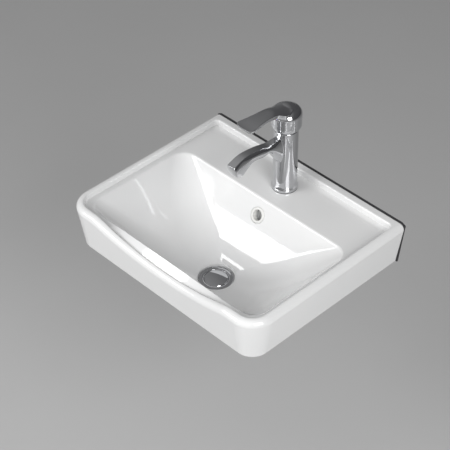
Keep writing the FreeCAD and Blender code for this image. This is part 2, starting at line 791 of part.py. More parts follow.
def hanger_bolts():
    """Two hanger studs: screw end in the wall, slimmer thread through the ceramic."""
    body = new_body("hanger_bolt_right", HANGER_DATUM, HANGER_TILT)
    tail, end = "hanger_tail_length", "hanger_wall_length"
    turned_piece(
        body, "stud", ("0", f"-{tail}"), ("hanger_thread_radius - 1", f"-{tail}"),
        ("hanger_thread_radius", f"-({tail} - 1)"), ("hanger_thread_radius", "0"),
        ("hanger_radius", "0"), ("hanger_radius", f"{end} - 4"), ("1", end), ("0", end),
        ("0", f"-{tail}"))
    return mirrored_pair("hanger_bolts", body)


def hanger_bushes():
    """Two flanged plastic bushes that keep the studs off the ceramic."""
    body = new_body("hanger_bush_right", HANGER_DATUM, HANGER_TILT)
    bore, sleeve = "hanger_thread_radius + seat_gap", "hanger_hole_radius - seat_gap"
    inner = "-(wall_pad_thickness + 1)"
    turned_piece(
        body, "bush", (bore, inner), (sleeve, inner), (sleeve, f"-{BOSS_FACE}"),
        ("bush_flange_radius", f"-{BOSS_FACE}"), ("bush_flange_radius", f"-{BUSH_FACE}"),
        (bore, f"-{BUSH_FACE}"), (bore, inner))
    return mirrored_pair("hanger_bushes", body)


def hanger_washers():
    """Two steel washers."""
    body = washer("hanger_washer_right", HANGER_DATUM, "hanger_washer_radius",
                  "hanger_thread_radius + 3 * seat_gap", f"-{WASHER_FACE}", f"-{BUSH_FACE}",
                  HANGER_TILT)
    return mirrored_pair("hanger_washers", body)


def hanger_nuts():
    """Two hexagonal nuts."""
    body = hex_nut("hanger_nut_right", HANGER_DATUM, "hanger_nut_radius",
                   "hanger_thread_radius + running_gap", f"-({WASHER_FACE} + hanger_nut_height)",
                   "hanger_nut_height", HANGER_TILT)
    return mirrored_pair("hanger_nuts", body)


# ---------------------------------------------------------------- tap body, spout, aerator

# Stations of the spout: share of the reach, top and belly from the root's height, half-width
# of the flat top.
SPOUT_STATIONS = (
    (0.1, -1.5, -25, 6.5), (0.31, 4.2, -18, 6.5), (0.46, 8.2, -12.6, 6.8), (0.6, 11.8, -9.5, 7),
    (0.71, 13.4, -12.5, 7.3), (0.8, 13.4, -23, 7.6), (0.9, 10.2, -28, 7.9), (1.03, 2.4, -30, 8.2),
)


def spout_section(body, index, share, top, belly, flat):
    """Section across the spout: flat top with crisp ridges, bulging sides, round belly."""
    sketch = sketch_on(body, f"spout_{index}", "XZ_Plane", f"spout_reach * {share}")
    high, low = f"spout_root_height + {top}", f"spout_root_height + {belly}"
    waist = f"spout_root_height + {0.5 * (top + belly)}"
    side = "0.62 * spout_half_width"
    draw(sketch, (f"-{flat}", high), (f"{flat}", high),
         ("spout_half_width", waist, side, f"{low} + 2.2"),
         ("0", low, f"-{side}", f"{low} + 2.2"),
         ("-spout_half_width", waist, f"-{flat}", high))
    return sketch


def trim_spout(body):
    """Cuts the spout's sloping end face and the outlet face under it."""
    rise, run = "sin(outlet_tilt)", "cos(outlet_tilt)"
    lip = (f"-(outlet_reach + spout_lip * {run})", f"outlet_height + spout_lip * {rise}")
    heel = (f"-(outlet_reach - spout_heel * {run})", f"outlet_height - spout_heel * {rise}")
    brow = ("-(spout_reach + spout_overhang)", "spout_root_height + spout_half_width")
    sketch = sketch_on(body, "spout_end", "YZ_Plane")
    low, far = "outlet_height - 30", "-(spout_reach + 20)"
    draw(sketch, brow, lip, heel, (heel[0], low), (far, low), (far, brow[1]), brow)
    pull(body, "spout_trim", sketch, "4 * spout_half_width", cut=True, both=True)


def tap_body():
    """Pillar with flared foot, cartridge well and under-side recess, and the cast spout."""
    body = new_body("tap_body", TAP_DATUM)
    foot = "base_seal_thickness"
    flare = f"({foot} + tap_foot_height)"
    turned_piece(
        body, "pillar", ("0", foot), ("tap_foot_radius - 0.6", foot),
        ("tap_foot_radius", f"{foot} + 0.6"), ("tap_foot_radius", flare),
        ("(tap_foot_radius + 2 * tap_radius) / 3", f"{flare} + 0.5 * tap_foot_blend",
         "tap_radius", f"{flare} + tap_foot_blend"),
        ("tap_radius", "tap_height - 0.5"), ("tap_radius - 0.5", "tap_height"),
        ("0", "tap_height"), ("0", foot))
    loft(body, "spout", [spout_section(body, i, *station)
                         for i, station in enumerate(SPOUT_STATIONS)])
    trim_spout(body)
    rod(body, "cartridge_well", "cartridge_radius + seat_gap", "tap_height - cartridge_drop",
        "tap_height + 1", cut=True)
    rod(body, "nut_well", "cartridge_nut_radius", "tap_height - cartridge_nut_drop",
        "tap_height + 1", cut=True)
    rod(body, "foot_recess", "tap_recess_radius", "0", f"{foot} + tap_recess_height", cut=True)
    recess_top = f"({foot} + tap_recess_height)"
    for side in (-1, 1):
        rod(body, f"inlet_{side + 1}", "inlet_radius", f"{recess_top} - 1",
            f"{recess_top} + inlet_depth", (f"{side} * inlet_spacing / 2", "-inlet_offset"),
            cut=True)
    rod(body, "stud_hole", "fixing_stud_radius", f"{recess_top} - 1",
        f"{recess_top} + fixing_stud_depth + 1", ("0", "fixing_stud_offset"), cut=True)
    solid_of(body, "Cylinder", "outlet_bore",
             {"Radius": "aerator_radius + seat_gap",
              "Height": "aerator_length + aerator_seal_thickness + 1"},
             along_outlet("-1"), "-outlet_tilt", cut=True)
    return body


def along_outlet(depth):
    """Point on the outlet's axis, a depth above the outlet face, in the tap's frame."""
    return ("0", f"-(outlet_reach) + ({depth}) * sin(outlet_tilt)",
            f"outlet_height + ({depth}) * cos(outlet_tilt)")


def outlet_datum():
    """Middle of the outlet face, in the row's frame."""
    _, forward, up = along_outlet("0")
    return ("0", f"{TAP_DATUM[1]} + {forward}", f"{TAP_DATUM[2]} + {up}")


def tap_base_seal():
    """Black ring between the pillar's foot and the shelf."""
    return washer("tap_base_seal", TAP_DATUM, "tap_foot_radius - 0.4", "tap_hole_radius + 1",
                  "0", "base_seal_thickness")


def aerator_housing():
    """Threaded ring in the outlet."""
    body = new_body("aerator_housing", outlet_datum(), "-outlet_tilt")
    bore, low = "aerator_radius - aerator_wall", "0.3"
    ledge = "aerator_length - aerator_insert_height"
    turned_piece(
        body, "ring", (f"{bore} - 0.8", low), ("aerator_radius - 0.4", low),
        ("aerator_radius", "0.7"), ("aerator_radius", "aerator_length"),
        (bore, "aerator_length"), (bore, ledge), (f"{bore} - 0.8", ledge),
        (f"{bore} - 0.8", low))
    return body


def aerator_insert():
    """Perforated disc that mixes air into the jet."""
    body = new_body("aerator_insert", outlet_datum(), "-outlet_tilt")
    low = "(aerator_length - aerator_insert_height)"
    radius = "aerator_radius - aerator_wall - seat_gap"
    rod(body, "disc", radius, low, "aerator_length")
    sketch = sketch_on(body, "hole", "XY_Plane", "aerator_length")
    draw_circle(sketch, ("0.55 * aerator_radius", "0"), "0.09 * aerator_radius")
    first = pull(body, "first_hole", sketch, "aerator_insert_height + 1", cut=True)
    repeat_round(body, "hole_ring", first, 12)
    return body


def aerator_seal():
    """Rubber ring between the housing and the end of the bore."""
    body = new_body("aerator_seal", outlet_datum(), "-outlet_tilt")
    top = "aerator_length + aerator_seal_thickness"
    rod(body, "disc", "aerator_radius - seat_gap", "aerator_length", top)
    rod(body, "hole", "aerator_radius - 2 * aerator_wall", "0", f"{top} + 1", cut=True)
    return body


# ---------------------------------------------------------------- fixing under the shelf

def horseshoe(label, top, thickness):
    """Disc under the shelf with a slot for the hoses, open to the front, and the stud's hole."""
    body = new_body(label, TAP_DATUM)
    rod(body, "disc", "fixing_seal_radius", f"{top} - ({thickness})", top)
    slot = sketch_on(body, "slot", "XY_Plane", top)
    wide, deep = "fixing_slot_half_width", "(fixing_stud_offset - fixing_stud_radius - 3.2)"
    corner = "0.3 * fixing_slot_half_width"
    out = "-(fixing_seal_radius + 2)"
    draw(slot, (f"-{wide}", out), (wide, out), (wide, f"{deep} - {corner}"),
         (f"{wide} - {corner} * 0.293", f"{deep} - {corner} * 0.293", f"{wide} - {corner}", deep),
         (f"-({wide} - {corner})", deep),
         (f"-({wide} - {corner} * 0.293)", f"{deep} - {corner} * 0.293",
          f"-{wide}", f"{deep} - {corner}"),
         (f"-{wide}", out))
    pull(body, "hose_slot", slot, f"{thickness} + 1", cut=True)
    rod(body, "stud_hole", "fixing_stud_radius + 2 * seat_gap", f"{top} - ({thickness}) - 1",
        f"{top} + 1", ("0", "fixing_stud_offset"), cut=True)
    return body


SHELF_UNDERSIDE = "(-shelf_thickness)"
SEAL_UNDERSIDE = f"({SHELF_UNDERSIDE} - fixing_seal_thickness)"
PLATE_UNDERSIDE = f"({SEAL_UNDERSIDE} - fixing_plate_thickness)"
STUD_DATUM = (TAP_DATUM[0], f"{TAP_DATUM[1]} + fixing_stud_offset", TAP_DATUM[2])


def tap_fixing_stud():
    """Threaded stud screwed into the pillar's foot."""
    body = new_body("tap_fixing_stud", STUD_DATUM)
    top = "base_seal_thickness + tap_recess_height + fixing_stud_depth"
    radius, low = "fixing_stud_radius - running_gap", "-fixing_stud_drop"
    turned_piece(body, "stud", ("0", low), (f"{radius} - 0.8", low), (radius, f"{low} + 0.8"),
                 (radius, top), ("0", top), ("0", low))
    return body


def tap_fixing_nut():
    """Nut that pulls the tap down."""
    return hex_nut("tap_fixing_nut", STUD_DATUM, "fixing_nut_radius",
                   "fixing_stud_radius + running_gap",
                   f"{PLATE_UNDERSIDE} - fixing_nut_height", "fixing_nut_height")


# ---------------------------------------------------------------- cartridge and lever

CARTRIDGE_FLOOR = "(tap_height - cartridge_drop)"
NUT_SEAT = "(tap_height - cartridge_nut_drop)"
NUT_TOP = f"({NUT_SEAT} + cartridge_nut_height)"
COLLAR_TOP = f"({PIVOT} + 6)"


def cartridge_seals():
    """Three rubber rings between the cartridge and the floor of its well."""
    rings = []
    for number in range(3):
        turn = f"{120 * number + 90}"
        radius = "0.52 * cartridge_radius"
        datum = (f"{radius} * cos({turn})", f"{TAP_DATUM[1]} + {radius} * sin({turn})",
                 f"{TAP_DATUM[2]} + {CARTRIDGE_FLOOR}")
        rings.append(washer(f"cartridge_seal_{number + 1}", datum, "cartridge_seal_radius",
                            "cartridge_seal_bore", "0", "cartridge_seal_thickness"))
    return grouped("cartridge_seals", rings)


def tap_cartridge():
    """Cartridge housing: wide base on the seals, neck that guides the turning collar."""
    body = new_body("tap_cartridge", TAP_DATUM)
    low, neck = f"{CARTRIDGE_FLOOR} + cartridge_seal_thickness", "cartridge_neck_radius"
    wide = "cartridge_radius - seat_gap / 2"
    top, bore = f"({NUT_TOP} + cartridge_neck_rise + 2)", "collar_radius + running_gap"
    pit = f"{COLLAR_TOP} - collar_length - body_gap"
    turned_piece(
        body, "housing", ("0", low), (wide, low), (wide, NUT_SEAT), (neck, NUT_SEAT),
        (neck, top), (bore, top), (bore, pit), ("0", pit), ("0", low))
    return body


def cartridge_nut():
    """Ring nut on the cartridge's shoulder."""
    return washer("cartridge_nut", TAP_DATUM, "cartridge_nut_radius - seat_gap",
                  "cartridge_neck_radius + 2 * seat_gap", NUT_SEAT, NUT_TOP)


def tap_bonnet():
    """Domed cover; its outside is part of a ball about the lever's pivot."""
    body = new_body("tap_bonnet", TAP_DATUM)
    rim, mouth = "cartridge_nut_radius - seat_gap", "bonnet_mouth_radius"
    inner = "(bonnet_radius - bonnet_wall)"
    slim = f"{mouth} * {inner} / bonnet_radius"
    foot_out = "sqrt(bonnet_radius ^ 2 - pivot_rise ^ 2)"
    foot_in = f"sqrt({inner} ^ 2 - pivot_rise ^ 2)"
    turned_piece(
        body, "dome", (foot_in, NUT_TOP), (rim, NUT_TOP), (rim, "tap_height"),
        (foot_out, "tap_height"),
        ("bonnet_radius", PIVOT, mouth, f"{PIVOT} + sqrt(bonnet_radius ^ 2 - {mouth} ^ 2)"),
        (slim, f"{PIVOT} + sqrt({inner} ^ 2 - ({slim}) ^ 2)"),
        (inner, PIVOT, foot_in, "tap_height"), (foot_in, NUT_TOP))
    return body


def cartridge_collar():
    """Carrier that turns in the cartridge's neck and holds the stem's trunnions."""
    body = new_body("cartridge_collar", TAP_DATUM)
    low = f"{COLLAR_TOP} - collar_length"
    rod(body, "barrel", "collar_radius", low, COLLAR_TOP)
    slot = sketch_on(body, "slot", "XY_Plane", COLLAR_TOP)
    half, long = "(stem_half_width + body_gap)", "(2 * stem_half_width + 0.6)"
    draw(slot, (f"-{half}", f"-{long}"), (half, f"-{long}"), (half, long), (f"-{half}", long),
         (f"-{half}", f"-{long}"))
    pull(body, "stem_slot", slot, f"{COLLAR_TOP} - {PIVOT} + stem_drop + 3", cut=True)
    hole = sketch_on(body, "trunnion_hole", "YZ_Plane")
    draw_circle(hole, ("0", PIVOT), "trunnion_radius + running_gap")
    pull(body, "trunnion_bore", hole, "2 * collar_radius + 2", cut=True, both=True)
    return body


def cartridge_stem():
    """Square stem with its two trunnions and the finger that moves the discs."""
    body = new_body("cartridge_stem", TAP_DATUM)
    half = "stem_half_width"
    square = sketch_on(body, "square", "XY_Plane", f"{PIVOT} - 5")
    draw(square, (f"-{half}", f"-{half}"), (half, f"-{half}"), (half, half), (f"-{half}", half),
         (f"-{half}", f"-{half}"))
    pull(body, "shaft", square, "stem_rise + 5")
    rod(body, "finger", "stem_half_width - 1", f"{PIVOT} - stem_drop", PIVOT)
    pin = sketch_on(body, "trunnion", "YZ_Plane")
    draw_circle(pin, ("0", PIVOT), "trunnion_radius")
    pull(body, "trunnions", pin, "2 * collar_radius - 2", both=True)
    return body


# Stations of the lever: forward of the tap axis as a share of the reach, half-width as a share
# of the tip's, and heights above the pivot of the sides, the middle and the underside as
# distances below the paddle's height.
LEVER_STATIONS = (
    (-0.02, 0.81, -10, -6.7, -23), (0.09, 1.02, -10.5, -5.7, -23), (0.18, 1.05, -10.5, -4.1, -20),
    (0.255, 0.945, -7, -2.7, -15.5), (0.33, 0.82, -3.5, -1.3, -11.5), (0.44, 0.775, -1, -0.5, -8),
    (0.6, 0.8, 0.2, -0.2, -6), (0.82, 0.97, 0.2, -0.6, -5), (1, 1, 0, -1, -4.7),
)


def lever_section(body, index, share, width, side, middle, under):
    """Section across the lever, crowned over the hood and slightly dished along the paddle."""
    sketch = sketch_on(body, f"lever_{index}", "XZ_Plane", f"paddle_reach * {share}")
    half, level = f"(paddle_half_width * {width})", f"({PIVOT} + paddle_rise"
    slim = f"({half} - 1.2)"
    draw(sketch, (f"-{slim}", f"{level} + {under})"), (slim, f"{level} + {under})"),
         (half, f"{level} + {side})"),
         ("0", f"{level} + {middle})", f"-{half}", f"{level} + {side})"),
         (f"-{slim}", f"{level} + {under})"))
    return sketch


def lever_handle():
    """Hood over the bonnet and flat paddle, one casting, hollow inside round the pivot."""
    body = new_body("lever_handle", TAP_DATUM)
    foot = f"({PIVOT} - pivot_rise + hood_gap)"
    shoulder, dome = f"({PIVOT} + hood_shoulder_rise)", "(hood_crown_rise - hood_shoulder_rise)"
    turned_piece(
        body, "hood", ("0", foot), ("tap_radius - 0.4", foot), ("tap_radius", f"{foot} + 0.4"),
        ("(hood_radius + tap_radius) / 2 + 1", f"({foot} + {PIVOT} + 3) / 2 - 1",
         "hood_radius", f"{PIVOT} + 4"),
        ("hood_radius", shoulder),
        ("0.946 * hood_radius", f"{shoulder} + 0.41 * {dome}",
         "0.714 * hood_radius", f"{shoulder} + 0.7 * {dome}"),
        dome_arc("0.714 * hood_radius", f"{shoulder} + 0.7 * {dome}", f"0.3 * {dome}"),
        ("0", foot))
    loft(body, "paddle", [lever_section(body, i, *station)
                          for i, station in enumerate(LEVER_STATIONS)])
    tip = -value("paddle_reach")
    round_edges(body, "paddle_corners", "paddle_corner_radius", lambda edge: all(
        abs(p.y - tip) < 0.01 and abs(p.x) > value("paddle_half_width") - 1.5
        for p in samples(edge)) and abs(edge.Vertexes[0].Z - edge.Vertexes[-1].Z) > 2)
    hollow_hood(body, foot)
    return body


def hollow_hood(body, foot):
    """Ball-shaped hollow, rear relief for the lift, stem socket and set-screw holes."""
    ball = "(bonnet_radius + hood_gap)"
    low = f"sqrt({ball} ^ 2 - (pivot_rise - hood_gap) ^ 2)"
    turned_piece(
        body, "hollow", ("0", f"{foot} - 1"), (low, f"{foot} - 1"), (low, foot),
        (ball, PIVOT, f"{ball} * sqrt(0.5)", f"{PIVOT} + {ball} * sqrt(0.5)"),
        (f"{ball} * sin(22.5)", f"{PIVOT} + {ball} * cos(22.5)", "0", f"{PIVOT} + {ball}"),
        ("0", f"{foot} - 1"), cut=True)
    relief = sketch_on(body, "relief", "YZ_Plane")
    hinge_line = "(pivot_rise - hood_gap) * tan(lever_lift_angle / 2)"
    far = "(hood_radius + 4)"
    draw(relief, (hinge_line, foot),
         (hinge_line, f"{foot} - 5"), (far, f"{foot} - 5"),
         (far, f"{foot} + ({far} - {hinge_line}) * tan(lever_lift_angle)"), (hinge_line, foot))
    pull(body, "rear_relief", relief, "3 * hood_radius", cut=True, both=True)
    socket = sketch_on(body, "socket", "XY_Plane", f"{PIVOT} + stem_rise + body_gap")
    half = "(stem_half_width + seat_gap)"
    draw(socket, (f"-{half}", f"-{half}"), (half, f"-{half}"), (half, half), (f"-{half}", half),
         (f"-{half}", f"-{half}"))
    pull(body, "stem_socket", socket, "stem_rise - 0.7 * bonnet_radius", cut=True)
    level = f"{PIVOT} + grub_screw_rise"
    screw = "(stem_half_width + grub_screw_length)"
    for name, radius, start, end in (
            ("screw_thread", "grub_screw_radius + running_gap", "stem_half_width", f"{screw} + 3"),
            ("screw_access", "grub_screw_radius + 0.6", f"{screw} + 2", "hood_radius"),
            ("plug_seat", "index_plug_radius + seat_gap", f"{PLUG_FACE} - index_plug_length",
             "hood_radius + 4")):
        solid_of(body, "Cylinder", name, {"Radius": radius, "Height": f"({end}) - ({start})"},
                 ("0", f"-({start})", level), "90", cut=True)


PLUG_FACE = "(hood_radius - 0.9)"
SCREW_DATUM = (TAP_DATUM[0], TAP_DATUM[1], f"{TAP_DATUM[2]} + {PIVOT} + grub_screw_rise")


def handle_grub_screw():
    """Set screw through the hood's front onto the stem."""
    body = new_body("handle_grub_screw", SCREW_DATUM, "90")
    low, high = "(stem_half_width + running_gap)", "(stem_half_width + grub_screw_length)"
    rod(body, "screw", "grub_screw_radius", low, high)
    sizes = {"Circumradius": "0.55 * grub_screw_radius", "Height": "3"}
    solid_of(body, "Prism", "hex_socket", sizes, ("0", "0", f"{high} - 2"), cut=True)
    return body


def handle_index_plug():
    """Small plug over the set screw, marked for hot and cold."""
    body = new_body("handle_index_plug", SCREW_DATUM, "90")
    rod(body, "plug", "index_plug_radius", f"{PLUG_FACE} - index_plug_length", PLUG_FACE)
    return body


# ---------------------------------------------------------------- waste

def cone_depth(radius, lift="0"):
    """Depth of the flange's underside cone below the flange top at a radius."""
    return f"(flange_edge_depth + flange_radius - flange_edge_land - ({radius}) + ({lift}))"


BOSS_FOOT = "(boss_height)"
SEAL_FOOT = f"({BOSS_FOOT} + lower_seal_thickness)"
WASHER_FOOT = f"({SEAL_FOOT} + waste_washer_thickness)"
NUT_FOOT = f"({WASHER_FOOT} + back_nut_height)"
CLICK_FLOOR = "(spider_top - 2)"
CLICK_TOP = "(spider_top - click_length)"
CAP_UNDERSIDE = "(cap_thickness + body_gap)"
PLUG_STEP = f"({CAP_UNDERSIDE} + cap_step_height)"


def waste_body():
    """Flange, tube with two overflow slots, cross bar for the click mechanism, thread relief."""
    body = new_body("waste_body", WASTE_DATUM)
    tube, bore, mouth = "waste_tube_radius", "waste_tube_bore", "waste_mouth_radius"
    edge, land = "flange_radius", "flange_radius - flange_edge_land"
    tail = "(waste_tube_length - waste_tail_length)"
    turned_piece(
        body, "flange_and_tube", (mouth, "-0.6"), (f"{mouth} + 0.9", "0"), (f"{edge} - 1.4", "-0.2"),
        (f"{edge} - 0.3", "-0.6", edge, "-1.5"), (edge, "-2.2"),
        (land, f"-{cone_depth(land)}"), (tube, f"-{cone_depth(tube)}"),
        (tube, f"-({tail} - 2)"), (f"{tube} - 0.6", f"-({tail} - 2)"),
        (f"{tube} - 0.6", f"-{tail}"), (tube, f"-{tail}"),
        (tube, "-waste_tube_length"), (bore, "-waste_tube_length"), (bore, "-13.5"),
        (f"{mouth} - 0.5", "-8"), (mouth, "-7.4"), (mouth, "-0.6"))
    slots = sketch_on(body, "overflow_slots", "XZ_Plane")
    half, top, low = "waste_slot_half_width", "-waste_slot_top", "-waste_slot_bottom"
    draw(slots, (f"-{half}", f"{low} + {half}"),
         ("0", low, half, f"{low} + {half}"), (half, f"{top} - {half}"),
         ("0", top, f"-{half}", f"{top} - {half}"), (f"-{half}", f"{low} + {half}"))
    pull(body, "slots", slots, "2 * waste_tube_radius + 4", cut=True, both=True)
    deep = "-(spider_top + spider_height)"
    arm = sketch_on(body, "arm_plan", "XY_Plane", f"{deep} + 1")
    side = "spider_arm_width / 2"
    draw(arm, ("0", f"-{side}"), (f"{bore} + 0.4", f"-{side}"), (f"{bore} + 0.4", side),
         ("0", side), ("0", f"-{side}"))
    first = pull(body, "arm", arm, "spider_height - 2")
    repeat_round(body, "arms", first, 3)
    rod(body, "hub", "spider_hub_radius", deep, "-spider_top")
    rod(body, "hub_bore", "click_stud_radius", f"{deep} - 1", "-spider_top + 1", cut=True)
    return body


def waste_flange_seal():
    """Conical rubber between the flange and the ceramic seat."""
    body = new_body("waste_flange_seal", WASTE_DATUM)
    inner, outer = "(waste_bore_radius + 1)", "(flange_radius - flange_edge_land)"
    under = "flange_seal_thickness - seat_gap"
    turned_piece(
        body, "cone", (inner, f"-{cone_depth(inner, 'seat_gap')}"),
        (outer, f"-{cone_depth(outer, 'seat_gap')}"),
        (f"{outer} + 1.3", f"-{cone_depth(outer, 'seat_gap')}"),
        (f"{outer} + 2", f"-{cone_depth(outer + ' + 2', under)}"),
        (inner, f"-{cone_depth(inner, under)}"), (inner, f"-{cone_depth(inner, 'seat_gap')}"))
    return body


def waste_back_nut():
    """Hexagonal nut that clamps the waste to the ceramic boss."""
    return hex_nut("waste_back_nut", WASTE_DATUM, "back_nut_radius",
                   "waste_tube_radius + running_gap", f"-{NUT_FOOT}", "back_nut_height")


def click_housing():
    """Barrel of the push-open mechanism, screwed into the cross bar."""
    body = new_body("click_housing", WASTE_DATUM)
    pit, neck = CLICK_FLOOR, f"({CLICK_TOP} + click_neck)"
    stud = "click_stud_radius - running_gap"
    deep = "-(spider_top + spider_height)"
    turned_piece(
        body, "barrel", ("0", deep), (stud, deep), (stud, "-spider_top"),
        ("click_radius", "-spider_top"), ("click_radius", f"-{CLICK_TOP}"),
        ("spindle_radius + running_gap", f"-{CLICK_TOP}"),
        ("spindle_radius + running_gap", f"-{neck}"), ("click_chamber_radius", f"-{neck}"),
        ("click_chamber_radius", f"-{pit}"), ("0", f"-{pit}"), ("0", deep))
    return body


def click_spring():
    """Compression spring of round wire under the spindle's collar."""
    wire, turns = value("spring_wire_radius"), value("spring_turns")
    coil = value("click_chamber_radius - 0.6 - spring_wire_radius")
    height = value("spring_length") - 2 * wire
    pitch = height / turns
    path = Part.makeHelix(pitch, height, coil)
    along = Vector(0, 1, pitch / (2 * math.pi * coil))
    ring = Part.Wire(Part.makeCircle(wire, Vector(coil, 0, 0), along))
    spring = document.addObject("Part::Feature", "click_spring")
    spring.Label = "click_spring"
    spring.Shape = Part.Wire(path).makePipeShell([ring], True, True)
    base = Vector(*(value(part) for part in WASTE_DATUM))
    spring.Placement = Placement(base - Vector(0, 0, value(CLICK_FLOOR) - wire - 0.02), Rotation())
    print(f"spring: gap between turns {pitch - 2 * wire:.2f} mm")
    return spring


def click_spindle():
    """Spindle with the collar that the spring pushes, screwed into the cap."""
    body = new_body("click_spindle", WASTE_DATUM)
    foot = f"({CLICK_FLOOR} - spring_length - body_gap)"
    collar = f"({foot} - spindle_collar_height)"
    rod(body, "collar", "click_chamber_radius - body_gap", f"-{foot}", f"-{collar}")
    rod(body, "shaft", "spindle_radius", f"-{foot}", f"-({CAP_UNDERSIDE} + cap_socket_depth + seat_gap)")
    return body


def waste_plug_cap():
    """Crowned cap with a step for its seal and a threaded boss."""
    body = new_body("waste_plug_cap", WASTE_DATUM)
    boss, foot = "click_radius", f"-({PLUG_STEP} + plug_seal_thickness + 0.8)"
    bore, top = "spindle_radius + running_gap", f"-({CAP_UNDERSIDE} + cap_socket_depth)"
    slim = "cap_radius - cap_step_width"
    turned_piece(
        body, "cap", ("0", top), (bore, top), (bore, foot), (boss, foot),
        (boss, f"-{PLUG_STEP}"), (slim, f"-{PLUG_STEP}"),
        (slim, f"-{CAP_UNDERSIDE}"), ("cap_radius", f"-{CAP_UNDERSIDE}"),
        ("cap_radius", "-(body_gap + 0.7)"), ("cap_radius - 0.7", "-body_gap"),
        dome_arc("cap_radius - 0.7", "-body_gap", "cap_crown"),
        ("0", top))
    return body


def waste_plug_seal():
    """Rubber ring under the cap that closes on the flange's inner cone."""
    return washer("waste_plug_seal", WASTE_DATUM, "cap_radius - 0.95", "click_radius + seat_gap",
                  f"-({PLUG_STEP} + plug_seal_thickness)", f"-{PLUG_STEP}")


# ---------------------------------------------------------------- hand-in

def export(pieces):
    """Checks every object and writes each piece to a file named after its node."""
    document.recompute()
    for thing in document.Objects:
        if "Invalid" in thing.State or "Error" in thing.State:
            raise RuntimeError(f"{thing.Label} failed: {thing.State}")
    for piece in pieces:
        if piece.Shape.isNull() or not piece.Shape.isValid():
            raise RuntimeError(f"{piece.Label} has no valid shape")
    os.makedirs("parts", exist_ok=True)
    for piece in pieces:
        piece.Shape.exportStep(f"parts/{piece.Label}.step")
        print(f"{piece.Label}: {len(piece.Shape.Solids)} solid, {piece.Shape.Volume:.1f} mm3")


def main():
    """Fills the sheet, builds every piece and writes them."""
    fill_sheet()
    export([
        overflow_ring(), wall_pad(), hanger_bolts(), hanger_bushes(), hanger_washers(),
        hanger_nuts(), tap_body(), tap_base_seal(), aerator_housing(), aerator_insert(),
        aerator_seal(),
        horseshoe("tap_fixing_seal", SHELF_UNDERSIDE, "fixing_seal_thickness"),
        horseshoe("tap_fixing_plate", SEAL_UNDERSIDE, "fixing_plate_thickness"),
        tap_fixing_stud(), tap_fixing_nut(), tap_cartridge(), cartridge_seals(),
        cartridge_nut(), tap_bonnet(), cartridge_collar(), cartridge_stem(), lever_handle(),
        handle_grub_screw(), handle_index_plug(), waste_body(), waste_flange_seal(),
        washer("waste_lower_seal", WASTE_DATUM, "lower_seal_radius",
               "waste_tube_radius + 2 * seat_gap", f"-{SEAL_FOOT}", f"-{BOSS_FOOT}"),
        washer("waste_washer", WASTE_DATUM, "lower_seal_radius - 1",
               "waste_tube_radius + 3 * seat_gap", f"-{WASHER_FOOT}", f"-{SEAL_FOOT}"),
        waste_back_nut(), click_housing(), click_spring(), click_spindle(), waste_plug_cap(),
        waste_plug_seal(), basin_body(),
    ])


main()
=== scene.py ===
"""Looks of a wall hung basin with its single-lever tap and push-open waste.

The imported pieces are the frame: +X points right seen from the front, +Y into the wall and +Z up,
in metres, with the origin on the wall midway between the hanger bolts.
"""
import json
import logging
import math
from collections.abc import Iterable, Sequence
from dataclasses import dataclass
from enum import Enum

import bmesh
import bpy
from mathutils import Matrix, Vector


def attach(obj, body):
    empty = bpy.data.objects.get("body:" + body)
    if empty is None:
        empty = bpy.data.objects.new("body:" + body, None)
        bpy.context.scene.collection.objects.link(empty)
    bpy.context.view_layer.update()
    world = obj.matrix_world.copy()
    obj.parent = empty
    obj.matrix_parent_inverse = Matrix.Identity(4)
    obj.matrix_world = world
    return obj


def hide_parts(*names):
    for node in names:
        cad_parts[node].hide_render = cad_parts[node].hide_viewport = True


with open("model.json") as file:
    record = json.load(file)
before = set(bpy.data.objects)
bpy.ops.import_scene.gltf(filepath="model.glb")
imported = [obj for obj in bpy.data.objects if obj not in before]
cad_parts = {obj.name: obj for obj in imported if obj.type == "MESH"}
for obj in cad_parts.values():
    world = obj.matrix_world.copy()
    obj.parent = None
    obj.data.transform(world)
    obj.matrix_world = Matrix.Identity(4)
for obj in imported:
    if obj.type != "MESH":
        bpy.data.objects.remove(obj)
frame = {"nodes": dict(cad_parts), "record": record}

LOG = logging.getLogger("wall_hung_basin")
JOIN_DISTANCE = 1e-6
CUT_TOLERANCE = 1e-7
MIX_SHARE, MIX_FIRST, MIX_SECOND, MIX_COLOUR = 0, 6, 7, 2  # a Mix node's inputs, its colour output


class Body(Enum):
    """The moving bodies that a piece can ride on."""

    ROOT = "root"
    SWIVEL = "swivel"
    LEVER = "lever"
    PLUG = "plug"


class Slot(Enum):
    """The finishes of the record, by the name of their slot."""

    GLAZE = "glaze"
    CHROME = "chrome"
    # wall pad, partly a real rubber pad and partly painted shadow of the gap between basin and wall
    PAD_AND_SHADOW_GAP = "pad_rubber"
    SEAL = "seal_rubber"
    ZINC = "zinc_steel"
    BRASS = "bare_brass"
    WHITE = "white_plastic"
    GREY = "grey_plastic"
    INDEX = "index_marks"


# ---------------------------------------------------------------- shading

